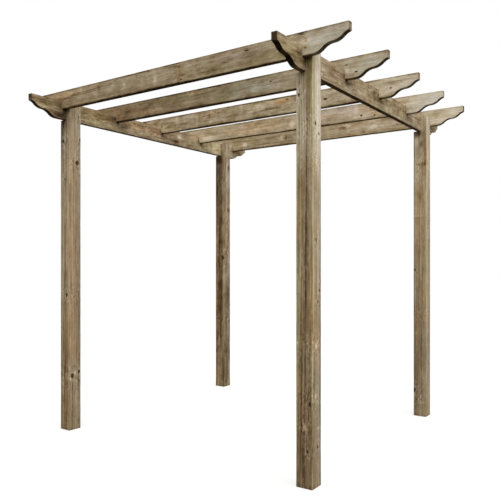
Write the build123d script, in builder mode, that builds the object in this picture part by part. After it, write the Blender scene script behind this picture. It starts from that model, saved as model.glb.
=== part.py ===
from build123d import *
import math
import os

# Wooden garden pergola: four posts, two side beams and five rafters, all in millimetres.
# X runs along the rafters, Y along the beams (front is -Y) and Z up from the feet.

# Driving sizes of the timbers
post_width = 94.0
post_round = 3.0
board_thick = 33.0
board_round = 2.0
beam_depth = 121.0
rafter_depth = 122.0
rafter_count = 5

# Driving sizes of the frame
beam_spacing = 1870.0
post_spacing = 1730.0
seat_height = 2115.0
cheek_thick = 38.0
cheek_rise = 106.0
lap_depth = 54.0
rafter_tail = 255.0
beam_tail_front = 271.0
beam_tail_back = 295.0
last_rafter_gap = 86.0

# Double-scalloped tails
scallop_run = 110.0
scallop_drop = 41.0
scallop_start = 200.0

# Clearance of the laps, and how far every cut runs past the wood
lap_clear = 0.2
cut_over = 5.0

# Derived places
rafter_length = beam_spacing + board_thick + 2 * rafter_tail
beam_length = post_spacing + post_width + beam_tail_front + beam_tail_back
beam_x = beam_spacing / 2
post_shift = board_thick / 2 - (post_width / 2 - cheek_thick)
front_face_y = -beam_length / 2 + beam_tail_front
front_post_y = front_face_y + post_width / 2
back_post_y = front_post_y + post_spacing
first_rafter_y = front_face_y - board_thick / 2
last_rafter_y = back_post_y + post_width / 2 + last_rafter_gap + board_thick / 2
rafter_pitch = (last_rafter_y - first_rafter_y) / (rafter_count - 1)
beam_top = seat_height + beam_depth
rafter_bottom = beam_top - lap_depth
scallop_radius = (scallop_run**2 + scallop_drop**2) / (4 * scallop_drop)
scallop_turn = math.degrees(2 * math.atan(scallop_drop / scallop_run))

os.makedirs("parts", exist_ok=True)


def board_face(length, depth):
    """Side view of a board, bottom edge on the X axis: straight edges and two scalloped tails."""
    end_x = length / 2
    root = (end_x - scallop_start, 0)
    crest_x = root[0] + 2 * scallop_run
    tip_turn = math.degrees(math.asin((crest_x - end_x) / scallop_radius))
    with BuildSketch() as face:
        with BuildLine():
            Line((0, 0), root)
            bulge = JernArc(root, (1, 0), scallop_radius, scallop_turn)
            cove = JernArc(bulge @ 1, bulge % 1, scallop_radius, -scallop_turn)
            bulge = JernArc(cove @ 1, cove % 1, scallop_radius, scallop_turn)
            cove = JernArc(bulge @ 1, bulge % 1, scallop_radius, tip_turn - scallop_turn)
            Polyline(cove @ 1, (end_x, depth), (0, depth))
            mirror(about=Plane.YZ)
        make_face()
    return face.sketch


def make_post(node, label, beam_line, centre_y):
    """Square post with a half-lapped head: a seat for the beam and a cheek on its +X side."""
    centre_x = beam_line + post_shift
    seat_width = post_width - cheek_thick
    with BuildPart() as post:
        with BuildSketch(Plane.XY):
            with Locations((centre_x, centre_y)):
                RectangleRounded(post_width, post_width, post_round)
        extrude(amount=seat_height + cheek_rise)
        with BuildSketch(Plane.XY.offset(seat_height)):
            with Locations((centre_x + post_width / 2 - cheek_thick, centre_y)):
                Rectangle(seat_width + cut_over, post_width + 2 * cut_over, align=(Align.MAX, Align.CENTER))
        extrude(amount=cheek_rise + cut_over, mode=Mode.SUBTRACT)
    post.part.label = label
    export_step(post.part, f"parts/{node}.step")


def make_beam(node, label, beam_line):
    """Side beam along Y, with a scalloped tail past the posts at each end."""
    with BuildPart() as beam:
        with BuildSketch(Plane.YZ.offset(beam_line).shift_origin((beam_line, 0, seat_height))):
            add(board_face(beam_length, beam_depth))
        extrude(amount=board_thick / 2, both=True)
        sides = beam.faces().sort_by(Axis.X)
        arrises = (sides[0].edges() + sides[-1].edges()).filter_by(Axis.Z, reverse=True)
        fillet(arrises, board_round)
    beam.part.label = label
    export_step(beam.part, f"parts/{node}.step")


def make_rafter(node, label, place_y):
    """Rafter along X, notched over both beams, with a scalloped tail past each beam."""
    stand = Plane(origin=(0, place_y, rafter_bottom), x_dir=(1, 0, 0), z_dir=(0, -1, 0))
    with BuildPart() as rafter:
        with BuildSketch(stand):
            add(board_face(rafter_length, rafter_depth))
        extrude(amount=board_thick / 2, both=True)
        sides = rafter.faces().sort_by(Axis.Y)
        arrises = (sides[0].edges() + sides[-1].edges()).filter_by(Axis.Z, reverse=True)
        fillet(arrises, board_round)
        with BuildSketch(stand):
            with Locations((-beam_x, lap_depth), (beam_x, lap_depth)):
                Rectangle(board_thick + 2 * lap_clear, lap_depth + cut_over, align=(Align.CENTER, Align.MAX))
        extrude(amount=board_thick / 2 + cut_over, both=True, mode=Mode.SUBTRACT)
    rafter.part.label = label
    export_step(rafter.part, f"parts/{node}.step")


for side, line in (("left", -beam_x), ("right", beam_x)):
    make_post(f"post_{side}_front", f"{side} front post", line, front_post_y)
    make_post(f"post_{side}_back", f"{side} back post", line, back_post_y)
    make_beam(f"beam_{side}", f"{side} side beam", line)

for number in range(rafter_count):
    make_rafter(f"rafter_{number + 1}", f"rafter {number + 1}", first_rafter_y + number * rafter_pitch)
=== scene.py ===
"""Wooden garden pergola: weathered timbers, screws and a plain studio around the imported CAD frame.

Lengths are in metres, in the CAD frame: X along the rafters, Y along the beams, Z up. Only the
rows of knots and streaks at the end are in millimetres and per cent.
A timber has its own axes as well: across its thickness, up its depth and along its grain.
"""
import logging
import math
from dataclasses import dataclass, field
from enum import Enum

import bmesh
import bpy
import numpy as np
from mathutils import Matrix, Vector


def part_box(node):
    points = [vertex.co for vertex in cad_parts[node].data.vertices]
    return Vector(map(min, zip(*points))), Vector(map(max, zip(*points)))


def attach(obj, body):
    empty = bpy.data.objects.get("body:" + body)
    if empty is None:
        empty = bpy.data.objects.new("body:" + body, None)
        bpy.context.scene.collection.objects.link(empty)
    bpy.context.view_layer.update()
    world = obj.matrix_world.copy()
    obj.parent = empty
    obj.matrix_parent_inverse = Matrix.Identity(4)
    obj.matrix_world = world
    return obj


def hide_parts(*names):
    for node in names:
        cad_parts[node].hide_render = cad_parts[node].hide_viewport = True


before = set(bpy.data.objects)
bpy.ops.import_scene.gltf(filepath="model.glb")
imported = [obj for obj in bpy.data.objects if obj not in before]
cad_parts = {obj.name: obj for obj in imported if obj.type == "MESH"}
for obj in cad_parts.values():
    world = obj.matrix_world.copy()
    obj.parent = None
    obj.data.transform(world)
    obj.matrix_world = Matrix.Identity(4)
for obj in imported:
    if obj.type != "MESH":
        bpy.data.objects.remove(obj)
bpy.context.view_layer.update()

LOG = logging.getLogger("pergola")
BODY = "root"

Array = np.ndarray
Colour = tuple[float, float, float]
Place = tuple[float, float, float]
Socket = bpy.types.NodeSocket

WHITE: Colour = (1.0, 1.0, 1.0)


class Grain(Enum):
    """Row axes that a timber's across, depth and length axes lie along, by how it is laid."""

    RAFTER = (1, 2, 0)
    BEAM = (0, 2, 1)
    POST = (0, 1, 2)

    def to_row(self, across: Array, depth: Array, along: Array) -> Array:
        """Put timber coordinates into the row frame.

        Args:
            across: coordinates across the thickness.
            depth: coordinates up the depth.
            along: coordinates along the grain.

        Returns:
            Points with a last axis of three row coordinates.
        """
        across, depth, along = np.broadcast_arrays(across, depth, along)
        points = np.empty(across.shape + (3,))
        for axis, values in zip(self.value, (across, depth, along)):
            points[..., axis] = values
        return points

    def of_row(self, point: Place) -> Place:
        """Timber coordinates (across, depth, along) of one row point."""
        return tuple(point[axis] for axis in self.value)


class Face(Enum):
    """Long faces of a timber, in the order in which its section is walked."""

    ACROSS_HIGH = 0
    DEPTH_HIGH = 1
    ACROSS_LOW = 2
    DEPTH_LOW = 3


@dataclass(frozen=True)
class Split:
    """Drying split: a shallow V that opens and closes along the grain.

    Attributes:
        face: long face that it opens on.
        share: place across that face, from 0 to 1 in the walking order.
        start: where it begins along the grain.
        end: where it ends along the grain.
        width: greatest opening.
        depth: greatest depth.
        wander: how far its line strays sideways.
    """

    face: Face
    share: float
    start: float
    end: float
    width: float = 0.0022
    depth: float = 0.007
    wander: float = 0.0025

    def opening(self, along: Array) -> Array:
        """How open it is, 0 to 1: a sine arch between its ends, sharpened towards the middle."""
        phase = np.clip((along - self.start) / (self.end - self.start), 0.0, 1.0)
        return np.sin(np.pi * phase) ** 0.7

    def stray(self, along: Array) -> Array:
        """Sideways line: two sines of unlike wavelength, faded in by the opening."""
        turn = 2 * np.pi * (along - self.start)
        return self.wander * self.opening(along) * (0.7 * np.sin(turn / 0.43) + 0.3 * np.sin(turn / 0.17))


class KnotKind(Enum):
    """A dead knot is dark and sharp, a live one only turns and reddens the grain. The value is its wobble."""

    DEAD = 1.3
    LIVE = 1.6


@dataclass(frozen=True)
class Knot:
    """Knot where a branch left the trunk.

    Attributes:
        face: face that it shows on.
        share: place across that face, from 0 to 1 in the walking order.
        along: place along the grain, in the row frame.
        radius: half of its width across the grain.
        kind: dead or live.
        stretch: its length along the grain over its width.
    """

    face: Face
    share: float
    along: float
    radius: float = 0.008
    kind: KnotKind = KnotKind.DEAD
    stretch: float = 1.5


class Stain(Enum):
    """What colours a streak. The value is the tint that it gives the wood."""

    PLAIN = WHITE
    GREY = (0.99, 0.98, 1.12)
    SILVER = (0.95, 1.01, 1.09)
    RUST = (1.08, 0.95, 0.83)
    OLIVE = (0.98, 1.02, 0.86)
    SLATE = (0.92, 0.98, 1.26)
    RESIN = (1.20, 0.85, 0.60)


@dataclass(frozen=True)
class Streak:
    """Long stain or bleached line that follows the grain: a bell in all three directions.

    Attributes:
        face: face that it lies on.
        share: place of its middle across that face, from 0 to 1 in the walking order.
        along: place of its middle along the grain, in the row frame.
        length: its length.
        width: half of its width.
        gain: how much paler the wood is in its middle.
        stain: what colours it.
    """

    face: Face
    share: float
    along: float
    length: float
    width: float
    gain: float
    stain: Stain = Stain.PLAIN


class Skin:
    """Joins surface patches into one closed mesh. Points that fall together become one."""

    WELD = 1e-6

    def __init__(self) -> None:
        """Start with no patches."""
        self._points: list[Array] = []
        self._values: list[Array] = []
        self._quads: list[Array] = []
        self._count = 0

    def grid(self, points: Array, values: Array | float = 0.0, closed: bool = False) -> None:
        """Add a surface given as a function of two parameters on a grid.

        Args:
            points: row points, rows by columns by three.
            values: how deep inside a split each point lies, 0 to 1; the wood is painted darker there, as
                painted shade in the splits.
            closed: whether the last column joins the first.
        """
        rows, columns = points.shape[:2]
        index = np.arange(rows * columns).reshape(rows, columns) + self._count
        if closed:
            index = np.concatenate([index, index[:, :1]], axis=1)
        quads = np.stack([index[:-1, :-1], index[:-1, 1:], index[1:, 1:], index[1:, :-1]], axis=-1)
        self._points.append(points.reshape(-1, 3))
        self._values.append(np.broadcast_to(values, (rows, columns)).reshape(-1))
        self._quads.append(quads.reshape(-1, 4))
        self._count += rows * columns

    def cap(self, edge: Array, values: Array | float = 0.0) -> None:
        """Close a flat opening with a fan from the middle of its edge points' box."""
        middle = (edge.min(axis=0) + edge.max(axis=0)) / 2
        rows = np.stack([edge, np.broadcast_to(middle, edge.shape)])
        shade = np.broadcast_to(values, edge.shape[:1])
        self.grid(rows, np.stack([shade, np.zeros_like(shade)]), closed=True)

    def mesh(self, name: str, sharp: float) -> bpy.types.Mesh:
        """Weld the patches and turn the faces outwards.

        Args:
            name: name of the mesh.
            sharp: angle past which an edge is shaded sharp, in radians.

        Returns:
            The new mesh, with a point attribute named split.
        """
        points = np.concatenate(self._points)
        keys = np.round(points / self.WELD).astype(np.int64)
        _, first, place = np.unique(keys, axis=0, return_index=True, return_inverse=True)
        quads = place.reshape(-1)[np.concatenate(self._quads)]
        doubled = quads == np.roll(quads, -1, axis=1)
        spare = doubled.sum(axis=1)
        triangles = quads[spare == 1][~doubled[spare == 1]].reshape(-1, 3)
        faces = quads[spare == 0].tolist() + triangles.tolist()
        mesh = bpy.data.meshes.new(name)
        mesh.from_pydata(points[first].tolist(), [], faces)
        layer = mesh.attributes.new("split", "FLOAT", "POINT")
        layer.data.foreach_set("value", np.concatenate(self._values)[first].astype(np.float32))
        shell = bmesh.new()
        shell.from_mesh(mesh)
        bmesh.ops.recalc_face_normals(shell, faces=shell.faces)
        shell.to_mesh(mesh)
        shell.free()
        mesh.polygons.foreach_set("use_smooth", np.ones(len(mesh.polygons), dtype=bool))
        mesh.set_sharp_from_angle(angle=sharp)
        mesh.update()
        return mesh


@dataclass
class Section:
    """Rounded section of a timber, walked once round: four flat faces and four eased arrises.

    Attributes:
        splits: drying splits on the faces.
        marks: shares on each face where a column has to stand, such as the line of a lap.
        flats: how many columns each face has, in the walking order.
        arris: columns on each eased arris, between its two ends.
        crowd: how near to a mark or a split no plain column stands, as a share of the face.
        reach: where the columns of a split stand across it, from edge to edge.
        slack: half of the width that a closed split keeps.
        dark_arris: split value of the arrises, which darkens them.
    """

    splits: tuple[Split, ...] = ()
    marks: dict[Face, tuple[float, ...]] = field(default_factory=dict)
    flats: tuple[int, int, int, int] = (10, 10, 10, 10)
    arris: int = 3
    crowd: float = 0.035
    reach: tuple[float, ...] = (-1.0, -0.4, 0.0, 0.4, 1.0)
    slack: float = 0.0003
    dark_arris: float = 0.0

    def __post_init__(self) -> None:
        """Lay out the columns once: face, share of the face, turn on the arris, split and place in it."""
        rows: list[tuple[int, float, float, int, float]] = []
        for face in Face:
            own = [(number, split) for number, split in enumerate(self.splits) if split.face is face]
            shares = np.linspace(0.0, 1.0, self.flats[face.value] + 1)
            keep = [*self.marks.get(face, ()), *(split.share for _, split in own)]
            shares = [s for s in shares if s in (0.0, 1.0) or all(abs(s - k) > self.crowd for k in keep)]
            flat = [(face.value, s, 0.0, -1, 0.0) for s in [*shares, *self.marks.get(face, ())]]
            flat += [(face.value, split.share, 0.0, number, q) for number, split in own for q in self.reach]
            rows += sorted(flat, key=lambda row: (row[1], row[4]))
            rows += [(face.value, 1.0, k / (self.arris + 1), -1, 0.0) for k in range(1, self.arris + 1)]
        table = np.array(rows)
        self.face, self.split = table[:, 0].astype(int), table[:, 3].astype(int)
        self.share, self.turn, self.place = table[:, 1], table[:, 2] * np.pi / 2, table[:, 4]

    def column(self, face: Face, share: float) -> int:
        """Number of the column that stands on a mark."""
        hit = (self.face == face.value) & np.isclose(self.share, share) & (self.turn == 0) & (self.split < 0)
        return int(np.flatnonzero(hit)[0])

    def walk(self, along: Array, low: Array, high: Array, ease: Array) -> tuple[Array, Array, Array]:
        """Walk the section at every station.

        On a flat face a point lies at its share of the straight run between the two arrises,
        and a split moves its own columns to its line and sinks them in a V. On an arris the
        point turns a quarter circle of the eased radius about the arris centre.

        Args:
            along: stations along the grain.
            low: lowest (across, depth) corner at each station.
            high: highest (across, depth) corner at each station.
            ease: radius of the arrises at each station.

        Returns:
            Across and depth coordinates and split values, stations by columns.
        """
        size, middle = high - low, (high + low) / 2
        flip = self.face % 2 == 1
        reach = np.where(flip, size[:, 1:] / 2, size[:, :1] / 2)
        run = np.where(flip, size[:, :1] / 2, size[:, 1:] / 2)
        radius = ease[:, None]
        base = ease.min()
        side = np.clip((2 * self.share - 1) * (run - base), radius - run, run - radius)
        sink = np.zeros_like(side)
        value = np.zeros_like(side)
        for number, split in enumerate(self.splits):
            own = self.split == number
            open_now = split.opening(along)[:, None]
            half = self.slack + split.width / 2 * open_now
            side[:, own] += split.stray(along)[:, None] + self.place[own] * half
            value[:, own] = open_now * (1 - np.abs(self.place[own])) ** 0.8
            sink[:, own] = split.depth * value[:, own]
        bend = self.turn > 0
        value[:, bend] = self.dark_arris
        out = reach - sink - np.where(bend, radius * (1 - np.cos(self.turn)), 0.0)
        side = np.where(bend, run - radius * (1 - np.sin(self.turn)), side)
        normal = np.array([[1, 0], [0, 1], [-1, 0], [0, -1]])[self.face]
        tangent = np.array([[0, 1], [-1, 0], [0, -1], [1, 0]])[self.face]
        across = middle[:, :1] + out * normal[:, 0] + side * tangent[:, 0]
        depth = middle[:, 1:] + out * normal[:, 1] + side * tangent[:, 1]
        return across, depth, value


class Shader:
    """Short way to write a material's nodes. Every method gives back an output socket."""

    def __init__(self, material: bpy.types.Material) -> None:
        """Empty the material's tree and keep it at hand."""
        material.use_nodes = True
        self.tree = material.node_tree
        self.tree.nodes.clear()

    def node(
        self, kind: str, inputs: dict[int | str, object] | None = None, **settings: object
    ) -> bpy.types.Node:
        """Make one node.

        Args:
            kind: node type without its ShaderNode prefix.
            inputs: values or sockets by input name or number.
            settings: attributes of the node.

        Returns:
            The new node.
        """
        made = self.tree.nodes.new("ShaderNode" + kind)
        for key, value in settings.items():
            setattr(made, key, value)
        for key, value in (inputs or {}).items():
            if isinstance(value, Socket):
                self.tree.links.new(value, made.inputs[key])
            else:
                made.inputs[key].default_value = value
        return made

    def math(self, operation: str, *values: float | Socket) -> Socket:
        """One Math node."""
        return self.node("Math", dict(enumerate(values)), operation=operation).outputs[0]

    def vector(self, operation: str, *values: Place | Socket) -> Socket:
        """One Vector Math node, by its vector output, or its value for a length or a dot product."""
        made = self.node("VectorMath", dict(enumerate(values)), operation=operation)
        return made.outputs["Value" if operation in ("LENGTH", "DOT_PRODUCT") else "Vector"]

    def ramp(self, value: Socket, low: float, high: float, start: float = 0.0, end: float = 1.0) -> Socket:
        """Smooth step from start to end as value goes from low to high."""
        inputs = {0: value, 1: low, 2: high, 3: start, 4: end}
        return self.node("MapRange", inputs, interpolation_type="SMOOTHSTEP").outputs[0]

    def noise(
        self, place: Socket, stretch: Place, detail: float = 2.0, rough: float = 0.5, colour: bool = False
    ) -> Socket:
        """Noise on a place that is first stretched along each axis."""
        scaled = self.vector("MULTIPLY", place, stretch)
        made = self.node("TexNoise", {"Vector": scaled, "Scale": 1.0, "Detail": detail, "Roughness": rough})
        return made.outputs["Color" if colour else "Fac"]

    def mix(
        self, share: float | Socket, first: Colour | Socket, second: Colour | Socket, blend: str = "MIX"
    ) -> Socket:
        """Mix two colours."""
        inputs = {0: share}
        for key, value in ((6, first), (7, second)):
            inputs[key] = value if isinstance(value, Socket) else (*value, 1.0)
        made = self.node("Mix", inputs, data_type="RGBA", blend_type=blend, clamp_factor=True)
        return made.outputs[2]

    def tint(self, share: float | Socket, colour: Socket, tint: Colour) -> Socket:
        """Multiply a colour by a tint where share is 1."""
        return self.mix(share, colour, tint, "MULTIPLY")

    def shade(self, level: Socket, shades: tuple[Colour, ...]) -> Socket:
        """Colour of a level between 0 and 1 along evenly spaced shades."""
        made = self.node("ValToRGB", {0: level})
        stops = made.color_ramp.elements
        while len(stops) < len(shades):
            stops.new(0.5)
        for number, colour in enumerate(shades):
            stops[number].position = number / (len(shades) - 1)
            stops[number].color = (*colour, 1.0)
        return made.outputs[0]


@dataclass(frozen=True)
class TreatedWood:
    """Planed, pressure-treated softwood that has stood outdoors.

    The wood's level runs from 0, wet dark streaks, to 1, silvered straw. The shades are the
    colours along it.

    Attributes:
        slot: material slot of the record; not used.
        shades: colours of the level, darkest first, evenly spaced from 0 to span.
        span: level of the palest shade.
        heart: tint of red-brown heartwood and resin patches.
        moss: tint of the green treatment salts.
        silver: tint of the sides that face the sun.
        cut: tint of weathered end grain.
        core: middle of a dead knot, and the painted shade deep in a split.
        ring: average width of a growth ring.
        wander: how far the pith strays sideways.
        taper: how much the rings widen along the grain.
        bulge: how far a knot pushes the rings aside.
        jitter: how many rings a noise shifts the ring number by.
        waver: how far a streak strays sideways.
        fray: how strongly a noise frays the edges of a streak.
        knot_reach: how deep a knot goes, in knot radii.
        streak_reach: how deep a streak goes.
        gloss: specular level.
        sun: way towards the sun that bleached it, which is also the way towards the light whose sides are
            painted paler.
    """

    slot: str
    shades: tuple[Colour, ...] = (
        (0.066, 0.039, 0.018),
        (0.238, 0.159, 0.081),
        (0.435, 0.338, 0.203),
        (0.660, 0.560, 0.400),
        (0.840, 0.740, 0.570),
    )
    span: float = 4 / 3
    heart: Colour = (1.09, 0.94, 0.80)
    moss: Colour = (0.98, 1.01, 0.90)
    silver: Colour = (0.98, 1.00, 1.06)
    cut: Colour = (0.86, 0.97, 1.06)
    core: Colour = (0.056, 0.029, 0.012)
    ring: float = 0.0046
    wander: float = 0.045
    taper: float = 0.010
    bulge: float = 0.013
    jitter: float = 1.8
    waver: float = 0.022
    fray: float = 4.0
    knot_reach: float = 3.0
    streak_reach: float = 0.03
    gloss: float = 0.10
    sun: Place = (0.86, -0.30, 0.41)

    def material(self, name: str, timber: "Timber") -> bpy.types.Material:
        """Make one timber's material.

        Args:
            name: name of the material.
            timber: timber whose grain, pith, knots and levels are used.

        Returns:
            The finished material.
        """
        material = bpy.data.materials.new(name)
        WoodShader(material, self, timber).surface()
        return material


class WoodShader(Shader):
    """Nodes of one timber's wood: growth rings round its own pith, pushed aside by its knots.

    The ring number is the distance from a wandering pith line over the ring width. Its
    fraction runs from pale to dark wood, its whole part gives each ring a tone of its own,
    and noises drawn out along the grain add streaks, mottling and fibre.
    """

    FAR = 60.0
    HALF = (0.5, 0.5, 0.5)
    SEEDING = (1.7, 0.9, 3.1)

    def __init__(self, material: bpy.types.Material, finish: TreatedWood, timber: "Timber") -> None:
        """Lay out the timber's own coordinates, and the same moved to its own part of the noise."""
        super().__init__(material)
        self.finish, self.timber = finish, timber
        seat = self.vector("SUBTRACT", self.node("TexCoord").outputs["Object"], timber.middle)
        parts = self.node("SeparateXYZ", {0: seat}).outputs
        axes = [parts[axis] for axis in timber.grain.value]
        self.along = axes[2]
        self.place = self.node("CombineXYZ", dict(enumerate(axes))).outputs[0]
        self.seeded = self.vector("ADD", self.place, tuple(timber.seed * share for share in self.SEEDING))
        self.normal = self.node("NewGeometry").outputs["Normal"]

    def surface(self) -> None:
        """Write the nodes up to the material's output.

        The level is the timber's own plus its figure, marks, streaks, sunny sides, end grain and shifts along
        the grain, each by its gain; the sunny sides, the shifts and some streaks hold painted light and shade
        as well as the wood's colour. Its shade is then tinted by heartwood, salts, sun, end grain, streaks
        and knots, and darkened deep in the splits as painted shade.
        """
        finish, timber = self.finish, self.timber
        dead, live = self._knots()
        near = self.math("MINIMUM", dead, live)
        tone, late, ringed = self._rings(near)
        fibre = self.grainy(900.0, 16.0, 3.0, 0.6)
        patch = self.grainy(11.0, 1.9)
        sunny = self.ramp(self.vector("DOT_PRODUCT", self.normal, finish.sun), 0.20, 0.95)
        cut = self._end_grain()
        streaks = self._streaks()
        calm = self.math("MULTIPLY_ADD", sunny, -timber.calm, 1.0)
        level = self.math("MULTIPLY_ADD", self._figure(ringed, fibre), calm, timber.level)
        level = self.add_up(level, {tone: 0.14 * timber.contrast, late: -0.20 * timber.contrast})
        level = self.add_up(level, self._marks(ringed, near))
        # Sides that face the light are made paler: partly sun bleaching, partly painted light.
        level = self.add_up(level, {sunny: timber.bleach_and_light, cut: timber.end})
        level = self.add_up(level, {bell: streak.gain for bell, streak in streaks})
        light_and_weather = self._light_and_weather()
        level = self.math("DIVIDE", self.math("ADD", level, light_and_weather), finish.span)
        silver = self.math("MAXIMUM", sunny, self.ramp(light_and_weather, 0.08, 0.25, 0.0, 0.4))
        damp = self.math("MULTIPLY", self.ramp(patch, 0.49, 0.30), self.math("SUBTRACT", 1.0, silver))
        colour = self.shade(level, finish.shades)
        colour = self.tint(self.ramp(patch, 0.53, 0.70, 0.0, timber.heart), colour, finish.heart)
        colour = self.tint(damp, colour, finish.moss)
        colour = self.tint(silver, colour, finish.silver)
        colour = self.tint(cut, colour, finish.cut)
        for bell, streak in streaks:
            if streak.stain is not Stain.PLAIN:
                colour = self.tint(bell, colour, streak.stain.value)
        colour = self.tint(self.ramp(live, 2.4, 0.4, 0.0, 0.25), colour, finish.heart)
        colour = self.mix(self.ramp(dead, 1.30, 0.80, 0.0, 0.96), colour, finish.core)
        # Painted shade: deep in a split the colour darkens towards the knot core colour; arrises and crushed
        # wood also darken by their split values.
        split = self.node("Attribute", attribute_name="split").outputs["Fac"]
        colour = self.mix(self.ramp(split, 0.02, 0.5, 0.0, 0.92), colour, finish.core)
        relief = self.math("MULTIPLY_ADD", late, 0.35, self.math("MULTIPLY", fibre, 0.65))
        surface = self.node("BsdfPrincipled", {
            "Base Color": colour,
            "Roughness": self.math("MULTIPLY_ADD", fibre, 0.18, self.ramp(late, 0.0, 1.0, 0.70, 0.60)),
            "Specular IOR Level": finish.gloss,
            "Normal": self.node("Bump", {"Strength": 0.35, "Distance": 0.0012, "Height": relief}).outputs[0],
        })
        self.node("OutputMaterial", {"Surface": surface.outputs[0]})

    def grainy(self, waves: float, along: float, detail: float = 2.0, rough: float = 0.5) -> Socket:
        """Noise of the timber's own, by its waves a metre across the grain and along it."""
        return self.noise(self.seeded, (waves, waves, along), detail, rough)

    def add_up(self, level: float | Socket, gains: dict[Socket, float]) -> Socket:
        """Level plus each value times its gain."""
        for value, gain in gains.items():
            level = self.math("MULTIPLY_ADD", value, gain, level)
        return level

    def _figure(self, ringed: Socket, fibre: Socket) -> Socket:
        """Figure of the wood, about zero: noises drawn out along the grain or along the rings.

        Args:
            ringed: place made of ring number and grain length.
            fibre: noise of the fibres.

        Returns:
            The sum of the noises, each by its gain.
        """
        grain, mottle = self.timber.contrast, self.timber.mottle
        bands = self.grainy(27.0, 0.35)
        lines = self.noise(ringed, (0.45, 1.0, 0.8), 4.0, 0.65)
        threads = self.grainy(110.0, 1.3, 3.0, 0.65)
        hairs = self.grainy(260.0, 4.0, 3.0, 0.6)
        clouds = self.grainy(24.0, 6.5, 4.0, 0.6)
        spots = self.grainy(19.0, 15.0, 3.0, 0.6)
        gains = {bands: 0.45 * grain, lines: 0.80 * grain, threads: 0.95 * grain, hairs: 0.80 * grain}
        gains |= {clouds: 0.60 * mottle, spots: 0.36 * mottle, fibre: 0.26}
        return self.add_up(-sum(gains.values()) / 2, gains)

    def _marks(self, ringed: Socket, near: Socket) -> dict[Socket, float]:
        """Pale and dark marks: lines along the rings, halos and whorls round the knots, blots and specks.

        Args:
            ringed: place made of ring number and grain length.
            near: distance to the nearest knot, in knot radii.

        Returns:
            The gain of each mark.
        """
        grain, mottle = self.timber.contrast, self.timber.mottle
        line = self.noise(ringed, (1.1, 1.0, 1.2))
        fleck = self.grainy(120.0, 48.0, 2.0, 0.6)
        blot = self.grainy(38.0, 13.0, 3.0, 0.6)
        speck = self.grainy(110.0, 30.0, 2.0, 0.6)
        whorl = self.ramp(near, 9.0, 2.5)
        return {
            self.ramp(line, 0.58, 0.70): -0.22 * grain,
            self.ramp(near, 3.2, 1.6): 0.05,
            self.math("MULTIPLY", whorl, self.ramp(fleck, 0.56, 0.65)): 0.32 * grain,
            self.math("MULTIPLY", whorl, self.ramp(fleck, 0.43, 0.34)): -0.24 * grain,
            self.ramp(blot, 0.56, 0.66): 0.08 * mottle,
            self.ramp(blot, 0.44, 0.34): -0.08 * mottle,
            self.ramp(speck, 0.62, 0.70): 0.24,
            self.ramp(speck, 0.38, 0.30): -0.24,
        }

    def _bent(self, waves: float, along: float, width: float) -> Socket:
        """The timber's place, strayed sideways by this width times a noise less a half."""
        noise = self.noise(self.seeded, (waves, waves, along), colour=True)
        stray = self.vector("MULTIPLY", self.vector("SUBTRACT", noise, self.HALF), (width, width, 0.0))
        return self.vector("ADD", self.place, stray)

    def _offset(self, place: Socket, mark: Knot | Streak, size: Place) -> Socket:
        """Way from the middle of a mark, in units of its half width, half length and depth."""
        middle, stretch = self.timber.spot(mark.face, mark.share, mark.along, *size)
        return self.vector("MULTIPLY", self.vector("SUBTRACT", place, middle), stretch)

    def _knots(self) -> tuple[Socket, Socket]:
        """Distances to the nearest dead and the nearest live knot, in knot radii.

        Each is the least of the stretched distances to that kind's knots, wobbled by noise.
        """
        wobble = self.math("SUBTRACT", self.grainy(85.0, 40.0), 0.5)
        found = []
        for kind in KnotKind:
            near: float | Socket = self.FAR
            for knot in (knot for knot in self.timber.knots if knot.kind is kind):
                size = (knot.radius, knot.radius * knot.stretch, knot.radius * self.finish.knot_reach)
                near = self.math("MINIMUM", self.vector("LENGTH", self._offset(self.place, knot, size)), near)
            found.append(self.math("MULTIPLY_ADD", wobble, kind.value, near))
        return found[0], found[1]

    def _streaks(self) -> list[tuple[Socket, Streak]]:
        """Bell value of each streak, on a place that strays a little sideways.

        The bell is e to the power of a noise that frays it, less the squared distance.
        """
        bent = self._bent(7.0, 1.6, self.finish.waver)
        fray = self.math("SUBTRACT", self.grainy(95.0, 24.0, 3.0, 0.65), 0.5)
        bells = []
        for streak in self.timber.streaks:
            size = (streak.width, streak.length / 2, self.finish.streak_reach)
            offset = self._offset(bent, streak, size)
            square = self.math("MULTIPLY", self.vector("DOT_PRODUCT", offset, offset), -1.0)
            power = self.math("MULTIPLY_ADD", fray, self.finish.fray, square)
            bells.append((self.math("EXPONENT", power), streak))
        return bells

    def _rings(self, near: Socket) -> tuple[Socket, Socket, Socket]:
        """Growth rings.

        Args:
            near: distance to the nearest knot, in knot radii.

        Returns:
            Tone of the ring, share of late wood and a place made of ring number and grain length,
            on which a noise draws lines that follow the rings.
        """
        finish = self.finish
        away = self.vector("SUBTRACT", self._bent(2.6, 0.6, finish.wander), (*self.timber.pith, 0.0))
        radius = self.vector("LENGTH", self.vector("MULTIPLY", away, (1.0, 1.0, finish.taper)))
        push = self.math("EXPONENT", self.math("MULTIPLY", self.math("POWER", near, 2.0), -0.22))
        radius = self.math("MULTIPLY_ADD", push, finish.bulge, radius)
        shift = self.grainy(22.0, 1.1, 1.0)
        number = self.math("MULTIPLY_ADD", shift, finish.jitter, self.math("DIVIDE", radius, finish.ring))
        whole = self.math("FLOOR", number)
        tone = self.node("TexWhiteNoise", {"W": whole}, noise_dimensions="1D").outputs["Value"]
        late = self.ramp(self.math("FRACT", number), 0.40, 0.97)
        along = self.node("SeparateXYZ", {0: self.seeded}).outputs[2]
        return tone, late, self.node("CombineXYZ", {0: number, 2: along}).outputs[0]

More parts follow.
